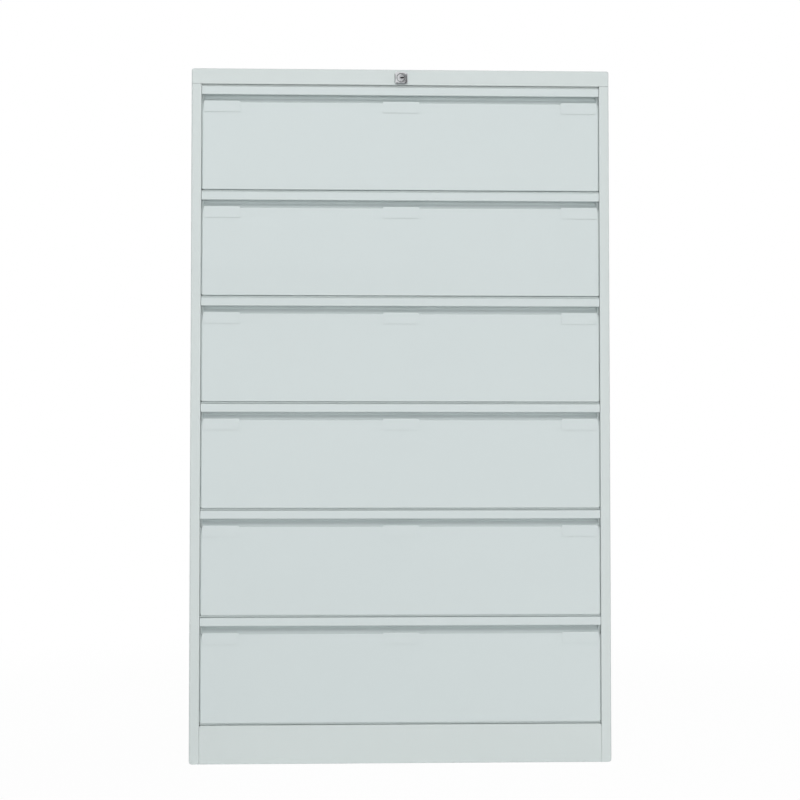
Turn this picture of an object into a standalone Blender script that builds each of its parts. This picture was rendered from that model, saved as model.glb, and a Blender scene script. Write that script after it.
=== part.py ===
"""A steel card index cabinet: six full-width drawers on telescopic runners, in a folded carcass.

Metres, Z up. The front faces -Y, and the origin is on the floor under the middle of the whole object.
"""

import math

import bmesh
import bpy
from mathutils import Matrix, Vector

# Carcass
CABINET_WIDTH = 0.800
CABINET_DEPTH = 0.622
CABINET_HEIGHT = 1.321
CARCASS_SHEET = 0.001
CORNER_RADIUS = 0.003  # outer folds of the sides and the top
SHOULDER_RADIUS = 0.0063  # the top's fold over each side
BASE_RADIUS = 0.005  # lower outer edge of each side
FOLD_INSIDE = 0.0006  # inner radius of every other fold
STILE_WIDTH = 0.019
STILE_DEPTH = 0.025
TOP_BAND = 0.0300  # front of the top, between the stiles
TOP_STEP = 0.0004  # the edge of the top is this much shorter over the sides
PLINTH_HEIGHT = 0.0726
PLINTH_RETURN = 0.040
BASE_SKIRT = 0.032
SEAM = 0.0003  # gap between fixed pieces that meet

# Drawer fronts
DRAWER_COUNT = 6
DRAWER_GAP = 0.004
FRONT_SHEET = 0.001
FRONT_SIDE_GAP = 0.003
FRONT_DEPTH = 0.0257  # from the panel's face to the tray
FRONT_RETURN = 0.020
LIP_HEIGHT = 0.0163
LIP_SIDE_GAP = 0.0013
PULL_MOUTH = 0.0153  # height of the opening under the lip
PULL_DEPTH = 0.014
PULL_RISE = 0.012  # the pull's floor climbs this far towards the back
SHOULDER_INSET = 0.002  # the panel's upper corners and the pull's ends draw in
SHOULDER_HEIGHT = 0.020
LABEL_WIDTH = 0.069
LABEL_END_GAP = 0.0032  # from the panel's edge to the outer holders
LABEL_DROP = 0.0193
LABEL_RISE = 0.0025
LABEL_PROUD = 0.0015

# Trays, dividers and compressors
TRAY_SHEET = 0.001
TRAY_LIFT = 0.008
TRAY_WALL = 0.130
TRAY_RIM = 0.006
TRAY_REAR_GAP = 0.032
TRACKS = ("left", "centre", "right")
DIVIDER_DROP = 0.020  # below the tray's rim
COMPRESSOR_DROP = 0.014  # below the tray's rim
COMPRESSOR_FOOT = 0.060
COMPRESSOR_LEAN = math.radians(12)
COMPRESSOR_CORNER = 0.014
COMPRESSOR_PLAY = 0.002  # on each side in its track
COMPRESSOR_REAR_GAP = 0.001
COMPRESSOR_SHEET = 0.0015

# Runners: a fixed channel, a cradle that slides in it, and the tray's rail that slides in the cradle
RUNNER_SHEET = 0.0015
RUNNER_PLAY = 0.0004
RUNNER_INSET = 0.0006  # the fixed channel's back lies this far behind the stile's inner face
RUNNER_FRONT = 0.030
RUNNER_REAR_GAP = 0.040
RAIL_CENTRE = 0.048  # above the drawer's lower edge
RAIL_HEIGHT = 0.0384
RAIL_REACH = 0.0163  # from the tray's wall to the rail's face
CRADLE_TIP_GAP = 0.0045  # from the tray's wall to the cradle's edges
TIE_GAP = 0.003  # from the tray's floor down to the cradle's tie
TIE_WIDTH = 0.030
TIE_END_GAP = 0.002
TIE_INSET = 0.0004
CHANNEL_TIP_GAP = 0.0022  # from the tie's leg to the fixed channel's edges
POST_WIDTH = 0.030
POST_FRONT = 0.048
POST_REAR_GAP = 0.050

# Lock
LOCK_PROUD = 0.006
LOCK_DROP = 0.0171  # from the cabinet's top to the lock's axis
LOCK_PLAY = 0.0003
BEZEL_WIDTH = 0.0255
BEZEL_HEIGHT = 0.024
BEZEL_CORNER = 0.004
BARREL_RADIUS = 0.0082
BARREL_RECESS = 0.0004
BARREL_REACH = 0.024
HOUSING_WALL = 0.0012
HOUSING_REACH = 0.022
KEYWAY_WIDTH = 0.006
KEYWAY_HEIGHT = 0.0023
KEYWAY_DEPTH = 0.012
NUT_FLATS = 0.024
NUT_THICKNESS = 0.004
CAM_SHEET = 0.003
CAM_EDGE = 0.004  # round the crank pin
LOCK_THROW = 0.010
CRANK_PIN_RADIUS = 0.002
CRANK_SLOT_PLAY = 0.0005
BAR_FRONT = 0.034
BAR_SHEET = 0.0025
BAR_WIDTH = 0.012
BAR_INSET = 0.003  # from the stile's inner face to the bar's near edge
BAR_FLOOR_GAP = 0.013
BAR_PIN_RADIUS = 0.003
BAR_PIN_INSET = 0.006
BAR_SLOT_PLAY = 0.0004
BAR_SLOT_EDGE = 0.005
HOOK_REACH = 0.010  # past the stile's inner face
HOOK_HEIGHT = 0.012
HOOK_CLEARANCE = 0.003  # above the catch when unlocked
CATCH_DROP = 0.026  # below the tray's rim
CATCH_HEIGHT = 0.012
CATCH_SHEET = 0.003
CATCH_GAP = 0.0015  # behind the bar
SLIDE_SHEET = 0.002
SLIDE_PLAY = 0.0004
SLIDE_EDGE = 0.004  # round the crank slot
PIN_OVERHANG = 0.001  # past the back of the slide
GUIDE_SHEET = 0.0015
GUIDE_LENGTH = 0.020
GUIDE_FLANGE = 0.012
GUIDE_LIP = 0.008
GUIDE_GRIP = 0.008  # how far a guide reaches over the bar
SLIDE_GUIDE_X = 0.190

FOLD_STEPS = 2  # facets in a fold
ROUND_STEPS = 3  # facets in a rounded corner
TURNED_STEPS = 24  # facets round a turned piece
WELD = 0.0003  # overlap of shapes that are joined into one piece
CLEAR = 0.010  # a cutter passes this far beyond what it cuts

# Places that follow from the sizes
FRONT = -(CABINET_DEPTH - LOCK_PROUD) / 2
BACK = FRONT + CABINET_DEPTH
HALF_WIDTH = CABINET_WIDTH / 2
OPENING_HALF = HALF_WIDTH - STILE_WIDTH
SKIN = HALF_WIDTH - CARCASS_SHEET  # inner face of a side
SKIN_SEAT = SKIN - SEAM
BAND_BOTTOM = CABINET_HEIGHT - TOP_BAND
SKIRT_BOTTOM = BAND_BOTTOM + TOP_STEP
SIDE_TOP = SKIRT_BOTTOM - SEAM
TOP_INSIDE = CABINET_HEIGHT - CARCASS_SHEET
BACK_SEAT = BACK - CARCASS_SHEET - SEAM
FRONT_HEIGHT = (BAND_BOTTOM - PLINTH_HEIGHT - (DRAWER_COUNT + 1) * DRAWER_GAP) / DRAWER_COUNT
DRAWER_PITCH = FRONT_HEIGHT + DRAWER_GAP
PANEL_HALF = OPENING_HALF - FRONT_SIDE_GAP
PANEL_TOP = FRONT_HEIGHT - LIP_HEIGHT - PULL_MOUTH

RUNNER_STEP = RUNNER_SHEET + RUNNER_PLAY
CHANNEL_OUT = OPENING_HALF + RUNNER_INSET
CRADLE_OUT = CHANNEL_OUT - RUNNER_STEP
RAIL_OUT = CRADLE_OUT - RUNNER_STEP
TRAY_HALF = RAIL_OUT - RAIL_REACH
CRADLE_TIP = TRAY_HALF + CRADLE_TIP_GAP
TIE_HALF = CRADLE_TIP + TIE_INSET + RUNNER_SHEET
CHANNEL_TIP = TIE_HALF + CHANNEL_TIP_GAP
RUNNER_BACK = CABINET_DEPTH - RUNNER_REAR_GAP

TRAY_FRONT = FRONT_DEPTH + SEAM
TRAY_BACK = CABINET_DEPTH - TRAY_REAR_GAP
TRAY_TOP = TRAY_LIFT + TRAY_WALL
TRAY_FLOOR = TRAY_LIFT + TRAY_SHEET
TRAY_INSIDE = TRAY_HALF - TRAY_SHEET
TRACK_WIDTH = (2 * TRAY_INSIDE - (len(TRACKS) - 1) * TRAY_SHEET) / len(TRACKS)
DIVIDER_HALF = TRACK_WIDTH / 2 + TRAY_SHEET
DIVIDER_BASE = TRAY_FLOOR + SEAM

LOCK_Z = CABINET_HEIGHT - LOCK_DROP
BORE_RADIUS = BARREL_RADIUS + LOCK_PLAY
HOUSING_RADIUS = BORE_RADIUS + HOUSING_WALL
CAM_FRONT = BARREL_REACH + SEAM
CRANK_OFFSET = LOCK_THROW / 2  # across and down from the lock's axis to the crank pin at rest
CRANK_RADIUS = math.hypot(CRANK_OFFSET, CRANK_OFFSET)
SLIDE_FRONT = BAR_FRONT + BAR_SHEET + SLIDE_PLAY
SLIDE_BACK = SLIDE_FRONT + SLIDE_SHEET
PIN_BACK = SLIDE_BACK + PIN_OVERHANG
SLOT_TOP = -CRANK_OFFSET + CRANK_PIN_RADIUS + CRANK_SLOT_PLAY
SLOT_BOTTOM = -CRANK_RADIUS - CRANK_PIN_RADIUS - CRANK_SLOT_PLAY
SLIDE_HIGH = LOCK_Z + SLOT_TOP + SLIDE_EDGE
SLIDE_LOW = LOCK_Z + SLOT_BOTTOM - SLIDE_EDGE
BAR_NEAR = OPENING_HALF + BAR_INSET
BAR_FAR = BAR_NEAR + BAR_WIDTH
BAR_PIN_X = OPENING_HALF - BAR_PIN_INSET
BAR_PIN_Z = (BAND_BOTTOM - DRAWER_GAP + TOP_INSIDE + LOCK_THROW) / 2
CATCH_TOP = TRAY_TOP - CATCH_DROP
HOOK_BOTTOM = CATCH_TOP + HOOK_CLEARANCE


# Outlines


def arc(corner, come, go, radius, steps=ROUND_STEPS):
    """Points of the round that leads from the way into a corner to the way out of it."""
    turn = math.atan2(come.cross(go), come.dot(go))
    side = Vector((-come.y, come.x)) * math.copysign(1, turn)
    centre = corner - come * radius * math.tan(abs(turn) / 2) + side * radius
    angles = [turn * step / steps for step in range(steps + 1)]
    return [centre - Matrix.Rotation(angle, 2) @ side * radius for angle in angles]


def rounded(*corners):
    """A closed outline through corners given as (u, v, radius), where a radius of 0 stays sharp."""
    points = [Vector(corner[:2]) for corner in corners]
    outline = []
    for i, corner in enumerate(corners):
        if not corner[2]:
            outline.append(points[i])
            continue
        come = (points[i] - points[i - 1]).normalized()
        go = (points[(i + 1) % len(points)] - points[i]).normalized()
        outline += arc(points[i], come, go, corner[2])
    return outline


def folded(sheet, *path):
    """The outline of sheet metal folded along a path, with its thickness on the left of the way."""
    points = [Vector(point) for point in path]
    ways = [(end - start).normalized() for start, end in zip(points, points[1:])]
    lefts = [Vector((-way.y, way.x)) * sheet for way in ways]
    near = [points[0]]
    far = [points[0] + lefts[0]]
    for i, corner in enumerate(points[1:-1]):
        come = ways[i]
        go = ways[i + 1]
        inner = come.cross(go) > 0
        mitre = (lefts[i] + lefts[i + 1]) / (1 + come.dot(go))
        near += arc(corner, come, go, FOLD_INSIDE + sheet * inner, FOLD_STEPS)
        far += arc(corner + mitre, come, go, FOLD_INSIDE + sheet * (not inner), FOLD_STEPS)
    near.append(points[-1])
    far.append(points[-1] + lefts[-1])
    return near + far[::-1]


def rectangle(low_u, low_v, high_u, high_v, radius=0):
    return rounded(
        (low_u, low_v, radius),
        (high_u, low_v, radius),
        (high_u, high_v, radius),
        (low_u, high_v, radius),
    )


def circle(u, v, radius, steps=TURNED_STEPS, turn=0):
    angles = [turn + 2 * math.pi * step / steps for step in range(steps)]
    return [(u + radius * math.cos(angle), v + radius * math.sin(angle)) for angle in angles]


def slot(start, end, radius):
    """The outline of a slot with round ends, from one end's centre to the other's."""
    start = Vector(start)
    end = Vector(end)
    way = (end - start).normalized()
    half_turn = [math.pi * step / ROUND_STEPS / 2 for step in range(2 * ROUND_STEPS + 1)]
    side = Vector((way.y, -way.x)) * radius
    return [end + Matrix.Rotation(angle, 2) @ side for angle in half_turn] + [
        start - Matrix.Rotation(angle, 2) @ side for angle in half_turn
    ]


# Solids


def solid(name, shape):
    """An object that holds a bmesh as its own mesh, with its faces pointing out."""
    bmesh.ops.recalc_face_normals(shape, faces=shape.faces)
    mesh = bpy.data.meshes.new(name)
    shape.to_mesh(mesh)
    shape.free()
    piece = bpy.data.objects.new(name, mesh)
    bpy.context.scene.collection.objects.link(piece)
    return piece


def prism(name, axis, outline, start, end):
    """An outline, drawn in the plane square to an axis, drawn out from start to end along that axis."""
    order = {"X": (2, 0, 1), "Y": (0, 2, 1), "Z": (0, 1, 2)}[axis]
    shape = bmesh.new()
    corners = [[(u, v, start)[i] for i in order] for u, v in outline]
    face = shape.faces.new([shape.verts.new(corner) for corner in corners])
    grown = bmesh.ops.extrude_face_region(shape, geom=[face])["geom"]
    moved = [item for item in grown if isinstance(item, bmesh.types.BMVert)]
    way = Vector([(0, 0, end - start)[i] for i in order])
    bmesh.ops.translate(shape, vec=way, verts=moved)
    return solid(name, shape)


def box(name, low, high):
    return prism(name, "Z", rectangle(low[0], low[1], high[0], high[1]), low[2], high[2])


def bevelled(piece, radius, chosen):
    """Rounds the edges whose middle passes a test."""
    shape = bmesh.new()
    shape.from_mesh(piece.data)
    edges = [edge for edge in shape.edges if chosen((edge.verts[0].co + edge.verts[1].co) / 2)]
    bmesh.ops.bevel(
        shape,
        geom=edges,
        offset=radius,
        segments=ROUND_STEPS,
        profile=0.5,
        affect="EDGES",
        clamp_overlap=True,
    )
    bmesh.ops.recalc_face_normals(shape, faces=shape.faces)
    shape.to_mesh(piece.data)
    shape.free()
    return piece


def combined(piece, operation, tools):
    """Applies Boolean steps to a piece and removes the tools that made them."""
    for tool in tools:
        step = piece.modifiers.new(tool.name, "BOOLEAN")
        step.operation = operation
        step.solver = "EXACT"
        step.object = tool
    graph = bpy.context.evaluated_depsgraph_get()
    mesh = bpy.data.meshes.new_from_object(piece.evaluated_get(graph))
    piece.modifiers.clear()
    piece.data = mesh
    for tool in tools:
        bpy.data.objects.remove(tool)
    return piece


def cut(piece, *tools):
    return combined(piece, "DIFFERENCE", tools)


def join(piece, *tools):
    return combined(piece, "UNION", tools)


def mirrored(piece, name):
    """The other hand of a piece, across the cabinet's middle."""
    shape = bmesh.new()
    shape.from_mesh(piece.data)
    bmesh.ops.scale(shape, vec=(-1, 1, 1), verts=shape.verts)
    bmesh.ops.reverse_faces(shape, faces=shape.faces)
    return solid(name, shape)


def both_hands(make, name):
    """A shape made for the right-hand side and its mirror image."""
    right = make(name)
    return right, mirrored(right, name + "_mirrored")


# Materials and placing


def finish(name, colour, roughness, metallic):
    material = bpy.data.materials.new(name)
    material.use_nodes = True
    shader = material.node_tree.nodes["Principled BSDF"]
    shader.inputs["Base Color"].default_value = (*colour, 1)
    shader.inputs["Roughness"].default_value = roughness
    shader.inputs["Metallic"].default_value = metallic
    return material


def axis_point(name, place, parent=None):
    """An empty on the axis or line that a group of pieces moves along."""
    empty = bpy.data.objects.new(name, None)
    empty.location = place
    empty.parent = parent
    bpy.context.scene.collection.objects.link(empty)
    return empty


def set_in(piece, material, parent, place=(0, 0, 0)):
    """Gives a piece its finish, its parent and its place under that parent."""
    mesh = piece.data
    mesh.materials.clear()
    mesh.materials.append(material)
    mesh.shade_smooth()
    mesh.set_sharp_from_angle(angle=math.radians(35))
    piece.parent = parent
    piece.location = place
    return piece


def copied(piece, name):
    """Another object with the same mesh."""
    twin = bpy.data.objects.new(name, piece.data)
    bpy.context.scene.collection.objects.link(twin)
    return twin


# Carcass


def lower_edge_cutter(out, low, radius):
    """What lies outside the rounded edge of a side whose face is at out and whose bottom is at low."""
    corner = Vector((out, low))
    outline = arc(corner, Vector((0, -1)), Vector((-1, 0)), radius)
    outline += [(out - radius, low - CLEAR), (out + CLEAR, low - CLEAR), (out + CLEAR, low + radius)]
    return prism("lower_edge", "Y", outline, FRONT - CLEAR, BACK + CLEAR)


def make_side():
    """A side with its stile, its bottom flange and its back flange, all folded from one sheet."""
    side = prism(
        "right_side",
        "Z",
        rounded(
            (OPENING_HALF, FRONT, FOLD_INSIDE + CARCASS_SHEET),
            (HALF_WIDTH, FRONT, CORNER_RADIUS),
            (HALF_WIDTH, BACK, CORNER_RADIUS),
            (OPENING_HALF, BACK, 0),
        ),
        0,
        SIDE_TOP,
    )
    inner_radius = CORNER_RADIUS - CARCASS_SHEET
    hollow = prism(
        "side_hollow",
        "Z",
        rounded(
            (OPENING_HALF + CARCASS_SHEET, FRONT + CARCASS_SHEET, FOLD_INSIDE),
            (SKIN, FRONT + CARCASS_SHEET, inner_radius),
            (SKIN, BACK - CARCASS_SHEET, inner_radius),
            (OPENING_HALF - CLEAR, BACK - CARCASS_SHEET, 0),
            (OPENING_HALF - CLEAR, FRONT + STILE_DEPTH, 0),
            (OPENING_HALF + CARCASS_SHEET, FRONT + STILE_DEPTH, 0),
        ),
        CARCASS_SHEET,
        SIDE_TOP + CLEAR,
    )
    cut(hollow, lower_edge_cutter(SKIN, CARCASS_SHEET, BASE_RADIUS - CARCASS_SHEET))
    return cut(side, lower_edge_cutter(HALF_WIDTH, 0, BASE_RADIUS), hollow)


def lid(name, inset):
    """A box as wide and deep as the top, less an inset all round, with its upper edges rounded."""
    across = HALF_WIDTH - inset
    top = CABINET_HEIGHT - inset
    low = BAND_BOTTOM - CLEAR * bool(inset)
    depth = CABINET_DEPTH / 2 - inset
    centre = (FRONT + BACK) / 2
    block = box(name, (-across, centre - depth, low), (across, centre + depth, top))

    def over_side(middle):
        return abs(middle.x) > across - WELD and middle.z > top - WELD

    def round_end(middle):
        return abs(middle.y - centre) > depth - WELD and middle.z > low + WELD

    bevelled(block, SHOULDER_RADIUS - inset, over_side)
    return bevelled(block, CORNER_RADIUS - inset, round_end)


def make_top():
    """The top with its skirts, cut back over the sides and bored for the lock."""
    top = lid("top_cap", 0)
    hollow = lid("top_hollow", CARCASS_SHEET)
    hole = prism(
        "lock_hole",
        "Y",
        circle(0, LOCK_Z, HOUSING_RADIUS + SEAM),
        FRONT - CLEAR,
        FRONT + CLEAR,
    )

    def notch(name):
        return box(
            name,
            (OPENING_HALF - SEAM, FRONT - CLEAR, BAND_BOTTOM - CLEAR),
            (HALF_WIDTH + CLEAR, BACK + CLEAR, SKIRT_BOTTOM),
        )

    return cut(top, hollow, hole, *both_hands(notch, "side_notch"))


def make_back():
    across = HALF_WIDTH - CORNER_RADIUS
    high = CABINET_HEIGHT - max(CORNER_RADIUS, SHOULDER_RADIUS) - SEAM
    return box(
        "back_panel",
        (-across, BACK_SEAT - CARCASS_SHEET, BASE_RADIUS + SEAM),
        (across, BACK_SEAT, high),
    )


def make_base():
    """A shallow pan, turned over, that ties the sides together and carries the runner frames."""
    front = FRONT + max(PLINTH_RETURN, STILE_DEPTH) + SEAM
    back = BACK_SEAT - CARCASS_SHEET - SEAM
    low = PLINTH_HEIGHT - BASE_SKIRT
    pan = box("base_pan", (-SKIN_SEAT, front, low), (SKIN_SEAT, back, PLINTH_HEIGHT))
    inside = SKIN_SEAT - CARCASS_SHEET
    hollow = box(
        "base_hollow",
        (-inside, front + CARCASS_SHEET, low - CLEAR),
        (inside, back - CARCASS_SHEET, PLINTH_HEIGHT - CARCASS_SHEET),
    )
    return cut(pan, hollow)


def make_plinth():
    outline = folded(
        CARCASS_SHEET,
        (FRONT + PLINTH_RETURN, PLINTH_HEIGHT),
        (FRONT, PLINTH_HEIGHT),
        (FRONT, 0),
        (FRONT + PLINTH_RETURN, 0),
    )
    return prism("plinth", "X", outline, SEAM - OPENING_HALF, OPENING_HALF - SEAM)


# Runners


def runner_section(out, tip, half_height):
    """A channel that opens inwards, given in (x, z) about the runner's centre line."""
    return folded(
        RUNNER_SHEET,
        (tip, -half_height),
        (out, -half_height),
        (out, half_height),
        (tip, half_height),
    )


def lifted(outline, height):
    return [(u, v + height) for u, v in outline]


def make_runner_frame():
    """Two upright posts with a fixed channel for each drawer."""
    inner = CHANNEL_OUT - WELD
    posts = []
    for start in (FRONT + POST_FRONT, BACK - POST_REAR_GAP - POST_WIDTH):
        section = folded(
            RUNNER_SHEET,
            (inner, start),
            (SKIN_SEAT, start),
            (SKIN_SEAT, start + POST_WIDTH),
            (inner, start + POST_WIDTH),
        )
        posts.append(prism("post", "Z", section, PLINTH_HEIGHT + SEAM, SIDE_TOP))
    half_height = RAIL_HEIGHT / 2 + 2 * RUNNER_STEP
    section = runner_section(CHANNEL_OUT, CHANNEL_TIP, half_height)
    channels = []
    for number in range(1, DRAWER_COUNT + 1):
        outline = lifted(section, drawer_base(number) + RAIL_CENTRE)
        channels.append(prism("channel", "Y", outline, FRONT + RUNNER_FRONT, FRONT + RUNNER_BACK))
    posts[0].name = "right_runner_frame"
    return join(posts[0], posts[1], *channels)


def make_cradle():
    """Two sliding channels, tied together under the back of the tray."""
    half_height = RAIL_HEIGHT / 2 + RUNNER_STEP
    section = lifted(runner_section(CRADLE_OUT, CRADLE_TIP, half_height), RAIL_CENTRE)

    def sliding_channel(name):
        return prism(name, "Y", section, RUNNER_FRONT, RUNNER_BACK)

    channels = both_hands(sliding_channel, "sliding_channel")
    low = TRAY_LIFT - TIE_GAP - RUNNER_SHEET
    high = RAIL_CENTRE - half_height + RUNNER_SHEET / 2
    outline = folded(
        RUNNER_SHEET,
        (-TIE_HALF, high),
        (-TIE_HALF, low),
        (TIE_HALF, low),
        (TIE_HALF, high),
    )
    tie_back = RUNNER_BACK - TIE_END_GAP
    tie = prism("cradle", "Y", outline, tie_back - TIE_WIDTH, tie_back)
    return join(tie, *channels)


# Drawers, each about the middle of its front's lower edge


def drawer_base(number):
    """Height of a drawer's lower edge. Drawer 1 is the top one."""
    return PLINTH_HEIGHT + DRAWER_GAP + (DRAWER_COUNT - number) * DRAWER_PITCH


def label_pad(middle):
    """A label holder's plate, hooked over the panel's upper edge, with its upper corners cut off."""
    near = middle - LABEL_WIDTH / 2
    far = middle + LABEL_WIDTH / 2
    low = PANEL_TOP - LABEL_DROP
    high = PANEL_TOP + LABEL_RISE
    outline = [
        (near, low),
        (far, low),
        (far, PANEL_TOP),
        (far - LABEL_RISE, high),
        (near + LABEL_RISE, high),
        (near, PANEL_TOP),
    ]
    return prism("label_pad", "Y", outline, -LABEL_PROUD, FRONT_SHEET / 2)


def make_front():
    """A front folded from one sheet, with its lip, its sloping pull and its label holders."""
    sheet = FRONT_SHEET
    lip_low = FRONT_HEIGHT - LIP_HEIGHT
    section = folded(
        sheet,
        (sheet, lip_low),
        (sheet, FRONT_HEIGHT - sheet),
        (PULL_DEPTH, FRONT_HEIGHT - sheet),
        (PULL_DEPTH, PANEL_TOP + PULL_RISE),
        (0, PANEL_TOP),
        (0, 0),
        (FRONT_DEPTH, 0),
        (FRONT_DEPTH, FRONT_RETURN),
    )
    lip_half = OPENING_HALF - LIP_SIDE_GAP
    front = prism("front", "X", section, -lip_half, lip_half)
    shoulder = PANEL_TOP - SHOULDER_HEIGHT
    drawn_in = PANEL_HALF - SHOULDER_INSET

    def end_flange(name):
        path = folded(
            sheet + WELD,
            (PANEL_HALF + WELD, sheet / 2),
            (PANEL_HALF + WELD, shoulder),
            (drawn_in + WELD, PANEL_TOP),
            (drawn_in + WELD, FRONT_HEIGHT - sheet / 2),
        )
        return prism(name, "Y", path, sheet / 2, FRONT_DEPTH - sheet / 2)

    def end_trim(name):
        outline = [
            (PANEL_HALF, -CLEAR),
            (lip_half + CLEAR, -CLEAR),
            (lip_half + CLEAR, lip_low - sheet / 2),
            (drawn_in, lip_low - sheet / 2),
            (drawn_in, PANEL_TOP),
            (PANEL_HALF, shoulder),
        ]
        return prism(name, "Y", outline, -CLEAR, FRONT_DEPTH + CLEAR)

    end_label = PANEL_HALF - LABEL_END_GAP - LABEL_WIDTH / 2
    pads = [label_pad(middle) for middle in (-end_label, 0, end_label)]
    join(front, *both_hands(end_flange, "end_flange"), *pads)
    return cut(front, *both_hands(end_trim, "end_trim"))


def make_tray():
    """A tray with rolled-out rims, its two rails and the catch that the lock bar holds."""
    sheet = TRAY_SHEET
    rim = TRAY_HALF + TRAY_RIM
    section = folded(
        sheet,
        (-rim, TRAY_TOP - sheet),
        (-TRAY_HALF, TRAY_TOP - sheet),
        (-TRAY_HALF, TRAY_LIFT),
        (TRAY_HALF, TRAY_LIFT),
        (TRAY_HALF, TRAY_TOP - sheet),
        (rim, TRAY_TOP - sheet),
    )
    tray = prism("tray", "Y", section, TRAY_FRONT, TRAY_BACK)
    across = TRAY_HALF - sheet / 2
    low = TRAY_LIFT + sheet / 2
    ends = [
        box("tray_end", (-across, start, low), (across, start + sheet, TRAY_TOP - sheet / 2))
        for start in (TRAY_FRONT, TRAY_BACK - sheet)
    ]
    rail = lifted(runner_section(RAIL_OUT, TRAY_HALF - WELD, RAIL_HEIGHT / 2), RAIL_CENTRE)
    rails = both_hands(lambda name: prism(name, "Y", rail, RUNNER_FRONT, RUNNER_BACK), "rail")
    catch_front = BAR_FRONT + BAR_SHEET + CATCH_GAP
    catch = box(
        "catch",
        (TRAY_HALF - WELD, catch_front, CATCH_TOP - CATCH_HEIGHT),
        (PANEL_HALF, catch_front + CATCH_SHEET, CATCH_TOP),
    )
    return join(tray, *ends, *rails, catch)


def make_dividers():
    """One folded insert whose two walls part the tray into three tracks."""
    high = TRAY_TOP - DIVIDER_DROP
    section = folded(
        TRAY_SHEET,
        (-DIVIDER_HALF, high),
        (-DIVIDER_HALF, DIVIDER_BASE),
        (DIVIDER_HALF, DIVIDER_BASE),
        (DIVIDER_HALF, high),
    )
    end_gap = TRAY_SHEET + SEAM
    return prism("dividers", "Y", section, TRAY_FRONT + end_gap, TRAY_BACK - end_gap)


def make_compressor():
    """A follower plate that leans back over its foot, about the lower front edge of the plate."""
    height = TRAY_TOP - COMPRESSOR_DROP - DIVIDER_BASE
    half = TRACK_WIDTH / 2 - COMPRESSOR_PLAY
    section = folded(
        COMPRESSOR_SHEET,
        (height * math.tan(COMPRESSOR_LEAN), height),
        (0, 0),
        (COMPRESSOR_FOOT, 0),
    )
    plate = prism("compressor", "X", section, -half, half)
    upper = height - COMPRESSOR_CORNER

    def corner_trim(name):
        corner = Vector((half, height))
        outline = arc(corner, Vector((1, 0)), Vector((0, -1)), COMPRESSOR_CORNER)
        outline += [
            (half + CLEAR, upper),
            (half + CLEAR, height + CLEAR),
            (half - COMPRESSOR_CORNER, height + CLEAR),
        ]
        return prism(name, "Y", outline, -CLEAR, COMPRESSOR_FOOT + CLEAR)

    return cut(plate, *both_hands(corner_trim, "corner_trim"))


# Lock


def make_lock_housing():
    """A square bezel and the round body behind it, bored for the barrel."""
    bezel = prism(
        "lock_housing",
        "Y",
        rectangle(
            -BEZEL_WIDTH / 2,
            LOCK_Z - BEZEL_HEIGHT / 2,
            BEZEL_WIDTH / 2,
            LOCK_Z + BEZEL_HEIGHT / 2,
            BEZEL_CORNER,
        ),
        FRONT - LOCK_PROUD,
        FRONT - SEAM,
    )
    body_outline = circle(0, LOCK_Z, HOUSING_RADIUS)
    body = prism("lock_body", "Y", body_outline, FRONT - 2 * SEAM, FRONT + HOUSING_REACH)
    bore = prism(
        "lock_bore",
        "Y",
        circle(0, LOCK_Z, BORE_RADIUS),
        FRONT - LOCK_PROUD - CLEAR,
        FRONT + HOUSING_REACH + CLEAR,
    )
    return cut(join(bezel, body), bore)


def make_lock_nut():
    """A hexagonal nut that holds the housing against the inside of the top's front."""
    front = FRONT + CARCASS_SHEET + SEAM
    across_corners = NUT_FLATS / math.sqrt(3)
    nut = prism("lock_nut", "Y", circle(0, LOCK_Z, across_corners, 6), front, front + NUT_THICKNESS)
    bore = prism(
        "nut_bore",
        "Y",
        circle(0, LOCK_Z, HOUSING_RADIUS + SEAM),
        front - CLEAR,
        front + NUT_THICKNESS + CLEAR,
    )
    return cut(nut, bore)


def make_lock_barrel():
    """The barrel with its keyway lying across it, about the lock's axis at the cabinet's front."""
    face = BARREL_RECESS - LOCK_PROUD
    barrel = prism("lock_barrel", "Y", circle(0, 0, BARREL_RADIUS), face, BARREL_REACH)
    keyway = box(
        "keyway",
        (-KEYWAY_WIDTH / 2, face - CLEAR, -KEYWAY_HEIGHT / 2),
        (KEYWAY_WIDTH / 2, face + KEYWAY_DEPTH, KEYWAY_HEIGHT / 2),
    )
    return cut(barrel, keyway)


def make_lock_cam():
    """A disc on the end of the barrel, with the crank pin that throws the slide."""
    disc_outline = circle(0, 0, CRANK_RADIUS + CAM_EDGE)
    disc = prism("lock_cam", "Y", disc_outline, CAM_FRONT, CAM_FRONT + CAM_SHEET)
    pin = prism(
        "crank_pin",
        "Y",
        circle(CRANK_OFFSET, -CRANK_OFFSET, CRANK_PIN_RADIUS),
        CAM_FRONT + CAM_SHEET / 2,
        PIN_BACK,
    )
    return join(disc, pin)


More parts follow.
